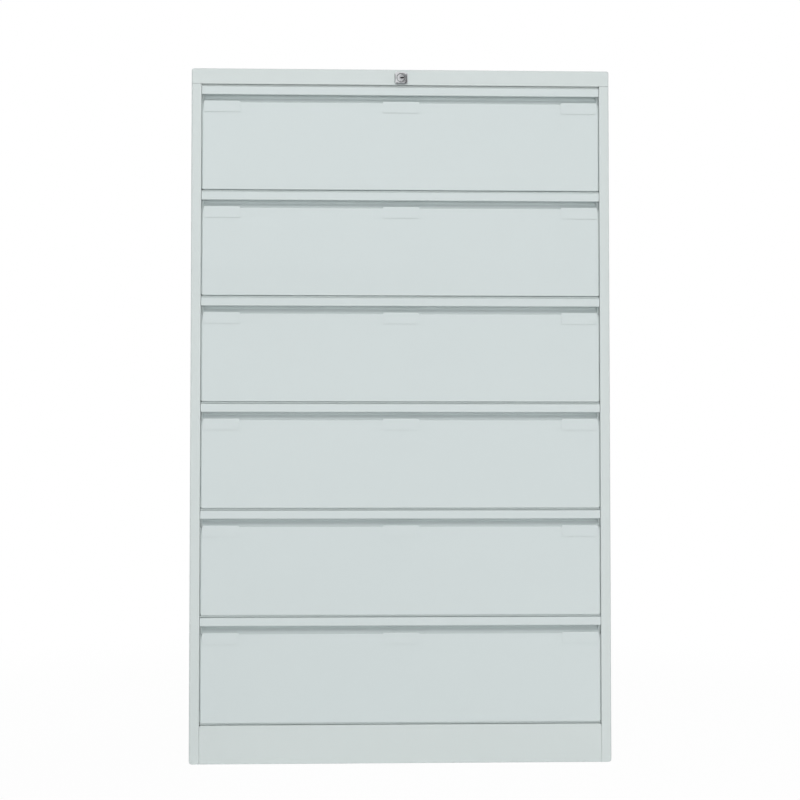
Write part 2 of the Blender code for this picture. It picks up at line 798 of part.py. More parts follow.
def make_lock_slide():
    """A strap from the crank to the lock bar, slotted upright for the one and on the slope for the other."""
    start = FRONT + SLIDE_FRONT
    end = FRONT + SLIDE_BACK
    crank_width = CRANK_PIN_RADIUS + CRANK_SLOT_PLAY
    strap_end = CRANK_OFFSET - crank_width - SLIDE_EDGE
    pin_width = BAR_PIN_RADIUS + BAR_SLOT_PLAY
    head_edge = pin_width + BAR_SLOT_EDGE
    head_low = BAR_PIN_Z - LOCK_THROW - head_edge
    head_high = BAR_PIN_Z + head_edge
    strap = box("lock_slide", (strap_end, start, SLIDE_LOW), (BAR_PIN_X, end, SLIDE_HIGH))
    head = prism(
        "slide_head",
        "Y",
        rectangle(BAR_PIN_X - head_edge, head_low, BAR_PIN_X + LOCK_THROW + head_edge, head_high),
        start,
        end,
    )
    crank_slot = prism(
        "crank_slot",
        "Y",
        slot(
            (CRANK_OFFSET, LOCK_Z - CRANK_RADIUS),
            (CRANK_OFFSET, LOCK_Z - CRANK_OFFSET),
            crank_width,
        ),
        start - CLEAR,
        end + CLEAR,
    )
    bar_slot = prism(
        "bar_slot",
        "Y",
        slot(
            (BAR_PIN_X, BAR_PIN_Z),
            (BAR_PIN_X + LOCK_THROW, BAR_PIN_Z - LOCK_THROW),
            pin_width,
        ),
        start - CLEAR,
        end + CLEAR,
    )
    return cut(join(strap, head), crank_slot, bar_slot)


def make_lock_bar():
    """An upright bar behind the right stile, with a hook over each catch and a pin in the slide."""
    start = FRONT + BAR_FRONT
    end = start + BAR_SHEET
    top = BAR_PIN_Z + BAR_PIN_RADIUS + BAR_SLOT_EDGE
    hook_tip = OPENING_HALF - HOOK_REACH
    bar = box("lock_bar", (BAR_NEAR, start, PLINTH_HEIGHT + BAR_FLOOR_GAP), (BAR_FAR, end, top))
    arm_low = BAR_PIN_Z - BAR_PIN_RADIUS - BAR_SLOT_EDGE
    arm_tip = BAR_PIN_X - BAR_PIN_RADIUS - BAR_SLOT_EDGE
    arms = [box("pin_arm", (arm_tip, start, arm_low), (BAR_NEAR + WELD, end, top))]
    for number in range(1, DRAWER_COUNT + 1):
        low = drawer_base(number) + HOOK_BOTTOM
        arms.append(box("hook", (hook_tip, start, low), (BAR_NEAR + WELD, end, low + HOOK_HEIGHT)))
    pin = prism(
        "bar_pin",
        "Y",
        circle(BAR_PIN_X, BAR_PIN_Z, BAR_PIN_RADIUS),
        end - BAR_SHEET / 2,
        FRONT + PIN_BACK,
    )
    return join(bar, *arms, pin)


def make_slide_guide():
    """A folded hanger under the top that the slide runs through."""
    back = FRONT + SLIDE_BACK + SLIDE_PLAY
    front = FRONT + SLIDE_FRONT - SLIDE_PLAY
    low = SLIDE_LOW - SLIDE_PLAY
    high = TOP_INSIDE - SEAM
    section = folded(
        GUIDE_SHEET,
        (back + GUIDE_FLANGE, high),
        (back, high),
        (back, low),
        (front, low),
        (front, low + GUIDE_LIP),
    )
    start = SLIDE_GUIDE_X - GUIDE_LENGTH / 2
    return prism("lock_slide_guide", "X", section, start, start + GUIDE_LENGTH)


def make_bar_guide(name, above):
    """A folded channel on the right side that the lock bar runs through, between two hooks."""
    front = FRONT + BAR_FRONT - SLIDE_PLAY - GUIDE_SHEET
    back = FRONT + BAR_FRONT + BAR_SHEET + SLIDE_PLAY + GUIDE_SHEET
    section = folded(
        GUIDE_SHEET,
        (BAR_FAR - GUIDE_GRIP, front),
        (SKIN_SEAT, front),
        (SKIN_SEAT, back),
        (BAR_FAR - GUIDE_GRIP, back),
    )
    middle = drawer_base(above) + HOOK_BOTTOM - DRAWER_PITCH / 2
    return prism(name, "Z", section, middle - GUIDE_LENGTH / 2, middle + GUIDE_LENGTH / 2)


# The cabinet


def build_carcass(carcass, paint, zinc):
    right_side = make_side()
    right_frame = make_runner_frame()
    painted = [
        right_side,
        mirrored(right_side, "left_side"),
        make_top(),
        make_back(),
        make_base(),
        make_plinth(),
    ]
    for piece in painted:
        set_in(piece, paint, carcass)
    for piece in (right_frame, mirrored(right_frame, "left_runner_frame")):
        set_in(piece, zinc, carcass)


def build_lock(carcass, chrome, zinc):
    set_in(make_lock_housing(), chrome, carcass)
    fixed = [
        make_lock_nut(),
        make_slide_guide(),
        make_bar_guide("lock_bar_upper_guide", 1),
        make_bar_guide("lock_bar_lower_guide", DRAWER_COUNT - 1),
    ]
    for piece in fixed:
        set_in(piece, zinc, carcass)
    axis = axis_point("lock_axis", (0, FRONT, LOCK_Z), carcass)
    set_in(make_lock_barrel(), chrome, axis)
    set_in(make_lock_cam(), zinc, axis)
    set_in(make_lock_slide(), zinc, carcass)
    set_in(make_lock_bar(), zinc, carcass)


def build_drawers(carcass, paint, tray_paint, zinc):
    front = make_front()
    tray = make_tray()
    dividers = make_dividers()
    cradle = make_cradle()
    compressor = make_compressor()
    compressor_y = TRAY_BACK - TRAY_SHEET - COMPRESSOR_REAR_GAP - COMPRESSOR_FOOT
    track_pitch = TRACK_WIDTH + TRAY_SHEET
    insert_top = DIVIDER_BASE + TRAY_SHEET + SEAM
    track_floors = (DIVIDER_BASE, insert_top, DIVIDER_BASE)
    for number in range(1, DRAWER_COUNT + 1):
        label = f"drawer_{number}"
        place = (0, FRONT, drawer_base(number))
        line = axis_point(label, place, carcass)
        half_line = axis_point(f"{label}_half", place, carcass)
        set_in(copied(front, f"{label}_front"), paint, line)
        set_in(copied(tray, f"{label}_tray"), tray_paint, line)
        set_in(copied(dividers, f"{label}_dividers"), tray_paint, line)
        set_in(copied(cradle, f"{label}_cradle"), zinc, half_line)
        for i, side in enumerate(TRACKS):
            piece = copied(compressor, f"{label}_compressor_{side}")
            set_in(piece, zinc, line, ((i - 1) * track_pitch, compressor_y, track_floors[i]))
    for pattern in (front, tray, dividers, cradle, compressor):
        bpy.data.objects.remove(pattern)


def build_cabinet():
    for old in list(bpy.data.objects):
        bpy.data.objects.remove(old)
    paint = finish("light_grey_powder_coat", (0.63, 0.69, 0.69), 0.45, 0.0)
    tray_paint = finish("tray_powder_coat", (0.60, 0.66, 0.66), 0.5, 0.0)
    zinc = finish("zinc_plated_steel", (0.55, 0.56, 0.57), 0.35, 1.0)
    chrome = finish("polished_chrome", (0.78, 0.79, 0.80), 0.12, 1.0)
    carcass = axis_point("carcass", (0, 0, 0))
    build_carcass(carcass, paint, zinc)
    build_lock(carcass, chrome, zinc)
    build_drawers(carcass, paint, tray_paint, zinc)


build_cabinet()
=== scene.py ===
import math
import bmesh
import bpy
from mathutils import Matrix, Vector


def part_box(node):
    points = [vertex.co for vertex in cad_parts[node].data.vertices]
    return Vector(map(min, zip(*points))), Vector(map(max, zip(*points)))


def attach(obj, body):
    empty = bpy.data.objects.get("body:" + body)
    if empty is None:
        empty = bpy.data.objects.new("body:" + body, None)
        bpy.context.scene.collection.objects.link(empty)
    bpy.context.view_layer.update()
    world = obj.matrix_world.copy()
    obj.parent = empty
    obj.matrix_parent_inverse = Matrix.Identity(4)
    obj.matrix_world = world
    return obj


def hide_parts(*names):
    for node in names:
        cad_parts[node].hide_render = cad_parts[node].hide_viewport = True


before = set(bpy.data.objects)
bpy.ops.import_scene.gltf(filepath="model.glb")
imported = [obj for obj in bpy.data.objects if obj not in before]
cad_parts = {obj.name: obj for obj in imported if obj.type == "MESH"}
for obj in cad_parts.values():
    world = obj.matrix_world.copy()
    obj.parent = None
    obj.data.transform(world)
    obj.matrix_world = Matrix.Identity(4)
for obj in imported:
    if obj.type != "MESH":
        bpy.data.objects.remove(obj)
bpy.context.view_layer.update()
mm = 0.001
tiny = 1e-6  # places closer than this are the same

# places that every piece is set by
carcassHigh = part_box("right_side")[1]
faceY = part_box("plinth")[0].y  # the plane of the stiles and panels
backY = carcassHigh.y
halfWidth = carcassHigh.x
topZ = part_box("top_cap")[1].z
stileWidth = 19 * mm
openingHalf = halfWidth - stileWidth
drawerNumbers = range(1, 7)
sides = {"left": -1, "centre": 0, "right": 1}
print("frame loaded:", len(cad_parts), "nodes")


class Wire:  # a shader socket that takes part in plain arithmetic
    def __init__(self, tree, socket=None):
        self.tree = tree
        self.socket = socket

    def add(self, kind, settings=None, inputs=None, out=0):  # any node, settings first
        node = self.tree.nodes.new("ShaderNode" + kind)
        for key, value in (settings or {}).items():
            setattr(node, key, value)
        for key, value in (inputs or {}).items():
            self.feed(node.inputs[key], value)
        return Wire(self.tree, node.outputs[out])

    def feed(self, socket, value):
        if isinstance(value, Wire):
            self.tree.links.new(value.socket, socket)
        else:
            socket.default_value = value

    def maths(self, operation, *terms):
        return self.add("Math", {"operation": operation}, dict(enumerate(terms)))

    def __add__(self, other):
        return self.maths("ADD", self, other)

    def __mul__(self, other):
        return self.maths("MULTIPLY", self, other)

    __radd__ = __add__
    __rmul__ = __mul__


def newFinish(name, settled):
    material = bpy.data.materials.new(name)
    material.use_nodes = True
    shader = material.node_tree.nodes["Principled BSDF"]
    for socket, value in settled.items():
        shader.inputs[socket].default_value = value
    return material, Wire(material.node_tree), shader


def noise(wire, place, scale, detail, roughness=0.5):
    inputs = {"Vector": place, "Scale": scale, "Detail": detail, "Roughness": roughness}
    return wire.add("TexNoise", None, inputs)


def blend(wire, share, first, second):
    return wire.add("Mix", {"data_type": "RGBA"}, {0: share, 6: first, 7: second}, 2)


def emboss(wire, shader, strength, depth, height):
    bump = wire.add("Bump", None, {"Strength": strength, "Distance": depth, "Height": height})
    wire.feed(shader.inputs["Normal"], bump)


def linear(red, green, blue):  # from the 0 to 255 of a colour picker
    def curve(part):
        part /= 255
        return part / 12.92 if part <= 0.04045 else ((part + 0.055) / 1.055) ** 2.4

    return (curve(red), curve(green), curve(blue), 1)


def tinted(colour, tint):
    return [part * share for part, share in zip(colour, tint)] + [1]


# powder coat: satin, with a fine orange peel and hardly any drift in its grey
coat = {
    "carcass": (208, 216, 215),
    "front": (208, 217, 217),
    "tray": (201, 209, 208),
    "drift": 0.014,
    "cool": (0.996, 1.0, 1.004),  # tints at the two ends of the drift
    "warm": (1.003, 1.0, 0.997),
    "cloudScale": 3.1,
    "patchScale": 26,
    "peelSize": 1.6 * mm,
    "peelDepth": 0.020 * mm,
    "grainSize": 0.35 * mm,
    "roughness": 0.42,
}


def coatFinish(name, grey):
    material, wire, shader = newFinish(name, {"IOR": 1.5})
    place = wire.add("TexCoord", out="Object")
    cloud = noise(wire, place, coat["cloudScale"], 4, 0.6)
    patch = noise(wire, place, coat["patchScale"], 2)
    peel = noise(wire, place, 1 / coat["peelSize"], 1)
    grain = noise(wire, place, 1 / coat["grainSize"], 1)
    base = linear(*grey)
    cool = tinted(base, [(1 - coat["drift"]) * part for part in coat["cool"]])
    warm = tinted(base, [(1 + coat["drift"]) * part for part in coat["warm"]])
    drift = cloud * 0.7 + patch * 0.2 + grain * 0.1
    wire.feed(shader.inputs["Base Color"], blend(wire, drift, cool, warm))
    wire.feed(shader.inputs["Roughness"], coat["roughness"] - 0.06 + patch * 0.08 + grain * 0.04)
    emboss(wire, shader, 0.6, coat["peelDepth"], peel * 0.8 + grain * 0.2)
    return material


# bright zinc plate: rolled along the runners, with faint crystal patches
zinc = {
    "runner": (180, 185, 185),
    "compressor": (187, 192, 191),
    "wafer": (46, 45, 43),  # steel wafers inside the keyway, made near black as painted shade of the deep slot
    "dull": (0.86,) * 3,
    "bright": (1.10,) * 3,
    "roughness": 0.3,
    "spangle": 14 * mm,
    "cloudScale": 9,
    "streak": 0.5 * mm,
    "streakDepth": 0.01 * mm,
    "rolled": (1, 0.02, 1),  # streaks run far along y
}


def zincFinish(name, tone):
    material, wire, shader = newFinish(name, {"Metallic": 1})
    place = wire.add("TexCoord", out="Object")
    crystal = {"Vector": place, "Scale": 1 / zinc["spangle"]}
    cells = wire.add("TexVoronoi", {"feature": "SMOOTH_F1"}, crystal)
    along = wire.add("Mapping", None, {"Vector": place, "Scale": zinc["rolled"]})
    streak = noise(wire, along, 1 / zinc["streak"], 2)
    cloud = noise(wire, place, zinc["cloudScale"], 3)
    base = linear(*tone)
    share = cells * 0.35 + streak * 0.25 + cloud * 0.4
    colour = blend(wire, share, tinted(base, zinc["dull"]), tinted(base, zinc["bright"]))
    wire.feed(shader.inputs["Base Color"], colour)
    wire.feed(shader.inputs["Roughness"], zinc["roughness"] - 0.08 + cloud * 0.12 + streak * 0.08)
    emboss(wire, shader, 0.5, zinc["streakDepth"], streak)
    return material


# polished chrome with a few wipe marks
chrome = {
    "tone": (214, 216, 218),
    "dull": (0.93,) * 3,
    "roughness": 0.10,
    "wipeScale": 260,
    "scratchScale": 2400,
    "scratchDepth": 0.004 * mm,
}


def chromeFinish(name):
    material, wire, shader = newFinish(name, {"Metallic": 1})
    place = wire.add("TexCoord", out="Object")
    wipe = noise(wire, place, chrome["wipeScale"], 3)
    scratch = noise(wire, place, chrome["scratchScale"], 2)
    base = linear(*chrome["tone"])
    wire.feed(shader.inputs["Base Color"], blend(wire, wipe, tinted(base, chrome["dull"]), base))
    wire.feed(shader.inputs["Roughness"], chrome["roughness"] - 0.04 + wipe * 0.06 + scratch * 0.04)
    emboss(wire, shader, 0.25, chrome["scratchDepth"], scratch)
    return material


carcassCoat = coatFinish("carcass coat", coat["carcass"])
frontCoat = coatFinish("front coat", coat["front"])
trayCoat = coatFinish("tray coat", coat["tray"])
zincPlate = zincFinish("zinc plate", zinc["runner"])
compressorPlate = zincFinish("compressor plate", zinc["compressor"])
# the wafers' near-black steel is painted shade for the keyway
waferSteelShade = zincFinish("wafer steel and painted shade", zinc["wafer"])
lockChrome = chromeFinish("lock chrome")
print("finishes made")


def growEdges(bm, edges):  # extrudes edges where they are and gives the new vertices
    grown = bmesh.ops.extrude_edge_only(bm, edges=edges)["geom"]
    return [part for part in grown if isinstance(part, bmesh.types.BMVert)]


def sweepSheet(bm, axis, path, start, stop, steps=5):  # path: two places across the axis and a bend radius
    run = "XYZ".index(axis)
    first, second = [i for i in range(3) if i != run]
    line = []
    for u, v, bend in path:
        place = Vector()
        place[first], place[second], place[run] = u, v, start
        line.append(bm.verts.new(place))
    far = growEdges(bm, [bm.edges.new(pair) for pair in zip(line, line[1:])])
    for vert in far:
        vert.co[run] = stop
    mine = set(line) | set(far)
    for before, here, after in zip(path, path[1:], path[2:]):
        u, v, bend = here
        if not bend:
            continue
        come = Vector(here[:2]) - Vector(before[:2])
        go = Vector(after[:2]) - Vector(here[:2])
        ends = {vert for vert in mine if abs(vert.co[first] - u) + abs(vert.co[second] - v) < tiny}
        fold = [e for e in bm.edges if ends.issuperset(e.verts)]
        bent = roundEdges(bm, fold, bend * math.tan(come.angle(go) / 2), steps)
        mine = {vert for vert in mine if vert.is_valid} | set(bent)
    return mine


def faceOut(bm, faces, inside):  # turns an open sheet's faces away from a point behind it
    bmesh.ops.recalc_face_normals(bm, faces=faces)
    lean = sum(f.normal.dot(f.calc_center_median() - Vector(inside)) * f.calc_area() for f in faces)
    if lean < 0:
        bmesh.ops.reverse_faces(bm, faces=faces)


def foldSheet(bm, axis, path, start, stop, inside, steps=5):
    verts = sweepSheet(bm, axis, path, start, stop, steps)
    faceOut(bm, [f for f in bm.faces if verts.issuperset(f.verts)], inside)


def blockFrom(bm, low, high):  # a plain block to fold, cut and round from
    verts = bmesh.ops.create_cube(bm, size=1)["verts"]
    low, high = Vector(low), Vector(high)
    bmesh.ops.scale(bm, verts=verts, vec=high - low)
    bmesh.ops.translate(bm, verts=verts, vec=(low + high) / 2)


def edgesWhere(bm, test):  # by an edge's middle and direction
    def fits(edge):
        start, stop = (v.co for v in edge.verts)
        return test((start + stop) / 2, (stop - start).normalized())

    return [e for e in bm.edges if fits(e)]


def roundEdges(bm, edges, radius, steps=5):
    return bmesh.ops.bevel(bm, geom=edges, offset=radius, affect="EDGES", segments=steps, profile=0.5,
                           material=-1)["verts"]


def roundUpperCorners(bm, top, radius, steps):
    corners = [v for v in bm.verts if v.co.z > top - tiny]
    bmesh.ops.bevel(bm, geom=corners, offset=radius, affect="VERTICES", segments=steps, profile=0.5,
                    material=-1)


def cutAcross(bm, place, normal, clear=False):
    everything = bm.verts[:] + bm.edges[:] + bm.faces[:]
    bmesh.ops.bisect_plane(bm, geom=everything, plane_co=place, plane_no=normal, clear_outer=clear)


def dropFaces(bm, test):  # by a face's middle and normal
    dropped = [f for f in bm.faces if test(f.calc_center_median(), f.normal)]
    bmesh.ops.delete(bm, geom=dropped, context="FACES")


def pressPanels(bm, panels, shape):  # a flat border around a pressed middle
    bmesh.ops.inset_individual(bm, faces=panels, thickness=shape["border"])
    bmesh.ops.inset_individual(bm, faces=panels, thickness=shape["slope"], depth=-shape["press"])


# rows hold a half width, a half height, a corner, a stand-off and at times a shift to the right
def loftRings(bm, centre, rows, steps, facing=-1):
    def edgesAmong(verts):
        ring = set(verts)
        return [e for e in bm.edges if ring.issuperset(e.verts)]

    turn = bm.verts.layers.float.get("turn") or bm.verts.layers.float.new("turn")
    verts = bmesh.ops.create_circle(bm, segments=4 * steps, radius=1)["verts"]
    for v in verts:
        v[turn] = math.atan2(v.co.y, v.co.x) + math.pi / (4 * steps)  # half a step off the axes
    first = last = edgesAmong(verts)
    for number, (wide, tall, corner, stand, *shift) in enumerate(rows):
        if number:
            verts = growEdges(bm, last)
            last = edgesAmong(verts)
        for v in verts:
            c, s = math.cos(v[turn]), math.sin(v[turn])
            x = math.copysign(wide - corner, c) + corner * c + sum(shift)
            z = math.copysign(tall - corner, s) + corner * s
            v.co = Vector(centre) + Vector((x, facing * stand, z))
    return first, last


def loftSolid(bm, centre, rows, steps, facing=-1):  # a loft with both its ends filled
    for ring in loftRings(bm, centre, rows, steps, facing):
        bmesh.ops.edgeloop_fill(bm, edges=ring)
    bmesh.ops.recalc_face_normals(bm, faces=bm.faces[:])


def roundRow(radius, stand):
    return (radius, radius, radius, stand)


def makePiece(name, bm, finish, body, standsFor=(), wall=0, edge=0):
    mesh = bpy.data.meshes.new(name)
    bm.to_mesh(mesh)
    bm.free()
    mesh.materials.append(finish)
    mesh.shade_smooth()
    piece = bpy.data.objects.new(name, mesh)
    bpy.context.collection.objects.link(piece)
    if wall:
        sheet = piece.modifiers.new("sheet", "SOLIDIFY")
        sheet.thickness, sheet.offset = wall, -1
        sheet.use_even_offset = True
    if edge:
        soft = piece.modifiers.new("soft edges", "BEVEL")
        soft.width, soft.segments = edge, 2
        soft.limit_method, soft.angle_limit = "ANGLE", math.radians(40)
    flat = piece.modifiers.new("flat faces", "WEIGHTED_NORMAL")
    flat.weight, flat.keep_sharp = 100, True
    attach(piece, body)
    if standsFor:
        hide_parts(*standsFor)


# carcass: a folded top over two folded sides, with a plinth between the stiles
carcass = {
    "sheet": 1 * mm,
    "round": 3 * mm,
    "topRound": 4.6 * mm,  # the top's fold over each side
    "footRound": 5 * mm,
    "stileDepth": 25 * mm,
    "stileBend": 0.6 * mm,
    "seam": 0.4 * mm,
    "edge": 0.3 * mm,
}


def makeCarcassPiece(name, bm, standsFor=(), wall=carcass["sheet"], edge=carcass["edge"]):
    makePiece(name, bm, carcassCoat, "carcass", standsFor, wall, edge)


def makeSide(hand):
    name = "left_side" if hand < 0 else "right_side"
    low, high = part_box(name)
    inner, outer = (high.x, low.x) if hand < 0 else (low.x, high.x)
    stile, bend, foot = low.y + carcass["stileDepth"], carcass["round"], carcass["footRound"]
    bm = bmesh.new()
    path = [(inner, stile, 0), (inner, low.y, carcass["stileBend"]), (outer, low.y, bend),
            (outer, high.y, bend), (inner, high.y, 0)]
    sweepSheet(bm, "Z", path, low.z, high.z)
    for turn in range(0, 90, 15):  # rows on which the foot curls in
        row = low.z + foot * (1 - math.sin(math.radians(turn)))
        cutAcross(bm, (0, 0, row), (0, 0, 1))
    for v in bm.verts:
        rest = max(low.z + foot - v.co.z, 0)
        if abs(v.co.x) > abs(inner + outer) / 2:
            v.co.x -= hand * (foot - math.sqrt(foot ** 2 - rest ** 2))
    soles = [e for e in bm.edges if e.is_boundary and e.verts[0].co.z < low.z + tiny]
    for v in growEdges(bm, [max(soles, key=lambda e: e.calc_length())]):  # a flange under the foot
        v.co.x = inner
    faceOut(bm, bm.faces[:], (low + high) / 2)
    makeCarcassPiece(f"{name}_panel", bm, (name,))


def makeTop():
    low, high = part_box("top_cap")
    seamZ = carcassHigh.z + carcass["seam"]
    inner = openingHalf - carcass["seam"]
    bm = bmesh.new()
    blockFrom(bm, (low.x, low.y, seamZ), high)
    dropFaces(bm, lambda m, n: n.z < -0.9)
    for hand in (-1, 1):
        cutAcross(bm, (hand * inner, 0, 0), (1, 0, 0))
    drop = edgesWhere(bm, lambda m, d: abs(d.x) > 0.9 and abs(m.x) < inner and m.z < seamZ + tiny)
    for v in growEdges(bm, drop):  # between the stiles the front and back reach further down
        v.co.z = low.z
    upper = edgesWhere(bm, lambda m, d: abs(d.y) > 0.9 and abs(m.x) > openingHalf and m.z > high.z - tiny)
    roundEdges(bm, upper, carcass["topRound"], 7)
    ends = [e for e in bm.edges if len(e.link_faces) == 2 and e.calc_face_angle() > 1]
    roundEdges(bm, ends, carcass["round"], 6)
    faceOut(bm, bm.faces[:], (0, 0, low.z))
    makeCarcassPiece("top_lid", bm, ("top_cap",))


plinth = {"returnDepth": 40 * mm, "bend": 1.4 * mm, "notch": 1.4 * mm}


def makePlinth():
    low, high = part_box("plinth")
    back, bend = faceY + plinth["returnDepth"], plinth["bend"]
    notchX, notchZ = high.x - plinth["notch"], high.z - plinth["notch"]
    bm = bmesh.new()
    path = [(back, high.z, 0), (faceY, high.z, bend), (faceY, 0, bend), (back, 0, 0)]
    sweepSheet(bm, "X", path, low.x, high.x)
    for hand in (-1, 1):  # relief notches where the plinth meets the stiles
        cutAcross(bm, (hand * notchX, 0, 0), (1, 0, 0))
    cutAcross(bm, (0, 0, notchZ), (0, 0, 1))
    dropFaces(bm, lambda m, n: abs(m.x) > notchX and m.z > notchZ)
    faceOut(bm, bm.faces[:], (0, back, high.z / 2))
    makeCarcassPiece("plinth_panel", bm, ("plinth",))


# back: three pressed panels, and a row of rivets along each side
backPanel = {"border": 38 * mm, "slope": 7 * mm, "press": 3 * mm, "crease": 2.5 * mm, "panels": 3}
rivet = {
    "count": 9,
    "radius": 3.2 * mm,
    "inset": 9 * mm,  # from the side
    "ends": 60 * mm,  # from the top and the floor to the first rivets
    "sunk": 0.05 * mm,
    "shape": ((1, -0.9 * mm), (0.98, -0.1 * mm), (0.8, 0)),  # share of the radius, stand-off
}


def makeBack():
    low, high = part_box("back_panel")
    bm = bmesh.new()
    verts = bmesh.ops.create_grid(bm, x_segments=1, y_segments=backPanel["panels"], size=0.5)["verts"]
    bmesh.ops.rotate(bm, verts=verts, cent=(0, 0, 0), matrix=Matrix.Rotation(math.radians(90), 3, "X"))
    bmesh.ops.scale(bm, verts=verts, vec=(high.x - low.x, 1, high.z - low.z))
    bmesh.ops.translate(bm, verts=verts, vec=(0, high.y, (low.z + high.z) / 2))
    faceOut(bm, bm.faces[:], (0, 0, topZ / 2))
    pressPanels(bm, bm.faces[:], backPanel)
    creases = [e for e in bm.edges if len(e.link_faces) == 2 and e.calc_face_angle() > 0.2]
    roundEdges(bm, creases, backPanel["crease"], 3)
    makeCarcassPiece("rear_panel", bm, ("back_panel",))
    bm = bmesh.new()
    rows = [roundRow(rivet["radius"] * share, stand) for share, stand in rivet["shape"]]
    pitch = (topZ - 2 * rivet["ends"]) / (rivet["count"] - 1)
    for hand in (-1, 1):
        for number in range(rivet["count"]):
            x, z = hand * (halfWidth - rivet["inset"]), rivet["ends"] + number * pitch
            loftSolid(bm, (x, backY - rivet["sunk"], z), rows, 4, facing=1)
    makeCarcassPiece("rear_rivets", bm, wall=0, edge=0)


for hand in (-1, 1):
    makeSide(hand)
makeTop()
makePlinth()
makeBack()
print("carcass made")

# lock: chrome bezel pressed into the top's front, barrel with its keyway lying across
lock = {
    "bezel": (12.75 * mm, 12 * mm, 5.2 * mm),  # half width, half height, corner
    "seat": 0.3 * mm,
    "lift": 0.5 * mm,  # shadow line under the bezel's rim
    "wall": 2.4 * mm,  # height of the bezel's sides under its domed face
    "proud": 6 * mm,
    "ring": 8.9 * mm,
    "ringEdge": (0.3 * mm, 0.1 * mm),  # in from the ring, back from its face
    "bore": 8.3 * mm,
    "boreMouth": 0.7 * mm,
    "body": 9.7 * mm,
    "reach": 22 * mm,
    "edge": 0.1 * mm,
    "barrel": 8.05 * mm,
    "barrelShort": 2 * mm,  # it ends this far before the housing does
    "sunk": 0.2 * mm,  # the barrel's face behind the ring's
    "barrelEdge": ((0, 0.8 * mm), (0.2 * mm, 0.5 * mm), (0.6 * mm, 0.1 * mm), (0.9 * mm, 0)),  # in, back
    "keyway": (3.7 * mm, 1.2 * mm, 2.2 * mm),  # half width, half height, how far it sits to the right
    "keyEdge": ((0.45 * mm, 0), (0.2 * mm, 0.1 * mm), (0, 0.8 * mm), (0, 14 * mm)),  # out, back
    "wafers": ((-0.05 * mm, 3 * mm), (-0.05 * mm, 1.4 * mm), (-0.35 * mm, 1.1 * mm)),  # out, back
}


def makeLock():
    low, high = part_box("lock_barrel")
    centre = ((low.x + high.x) / 2, faceY, (low.z + high.z) / 2)
    wide, tall, corner = lock["bezel"]
    seat, lift, wall, proud = lock["seat"], lock["lift"], lock["wall"], lock["proud"]
    ring, bore, body, reach = lock["ring"], lock["bore"], lock["body"], lock["reach"]
    rows = [roundRow(bore, -reach), roundRow(body, -reach), roundRow(body, seat),
            (wide - lift, tall - lift, corner - lift, seat), (wide, tall, corner, seat + lift)]
    for turn in range(0, 91, 10):  # domed from the sides up to the ring
        out, up = math.cos(math.radians(turn)), math.sin(math.radians(turn))
        rows.append((*(ring + (half - ring) * out for half in lock["bezel"]), wall + (proud - wall) * up))
    inward, back = lock["ringEdge"]
    rows += [roundRow(ring - inward, proud - back), roundRow(bore, proud - lock["boreMouth"]),
             roundRow(bore, -reach)]
    bm = bmesh.new()
    loftRings(bm, centre, rows, 12)
    bmesh.ops.remove_doubles(bm, verts=bm.verts[:], dist=tiny)
    bmesh.ops.recalc_face_normals(bm, faces=bm.faces[:])
    makePiece("lock_bezel", bm, lockChrome, "carcass", ("lock_housing",), 0, lock["edge"])
    face = proud - lock["sunk"]

    def keyRow(out, back):
        slotWide, slotTall, right = lock["keyway"]
        return (slotWide + out, slotTall + out, slotTall + out, face - back, right)

    rows = [roundRow(lock["barrel"], lock["barrelShort"] - reach)]
    rows += [roundRow(lock["barrel"] - inward, face - back) for inward, back in lock["barrelEdge"]]
    rows += [keyRow(out, back) for out, back in lock["keyEdge"]]
    bm = bmesh.new()
    loftSolid(bm, centre, rows, 12)
    makePiece("lock_plug", bm, lockChrome, "lock_barrel", ("lock_barrel",))
    bm = bmesh.new()
    loftSolid(bm, centre, [keyRow(out, back) for out, back in lock["wafers"]], 6)
    makePiece("lock_wafers", bm, waferSteelShade, "lock_barrel")


makeLock()
print("lock made")

# dust strips: slim channels on the stiles and across, behind the gaps between the fronts
dust = {
    "front": 6.4 * mm,
    "side": 4.6 * mm,
    "pull": 9.5 * mm,  # beside the pulls they stand further back
    "lip": 18.8 * mm,  # and beside the lips behind the whole fold
    "back": 24 * mm,
    "cover": 18 * mm,
    "coverGap": 0.1 * mm,
    "sheet": 0.7 * mm,
    "bend": 0.6 * mm,
    "edge": 0.1 * mm,
    "clear": 0.4 * mm,
    "foot": 1.5 * mm,
    "head": 3 * mm,
    "brow": 1 * mm,  # they step back this far under the panel's upper edge
    "pocket": 1.2 * mm,  # and again this far under the pocket's top
    "upper": 2.2 * mm,  # the topmost strip stands up behind the top's edge
    "runner": (24 * mm, 72 * mm),  # the runners pass here, so the fronts carry a cover instead
}

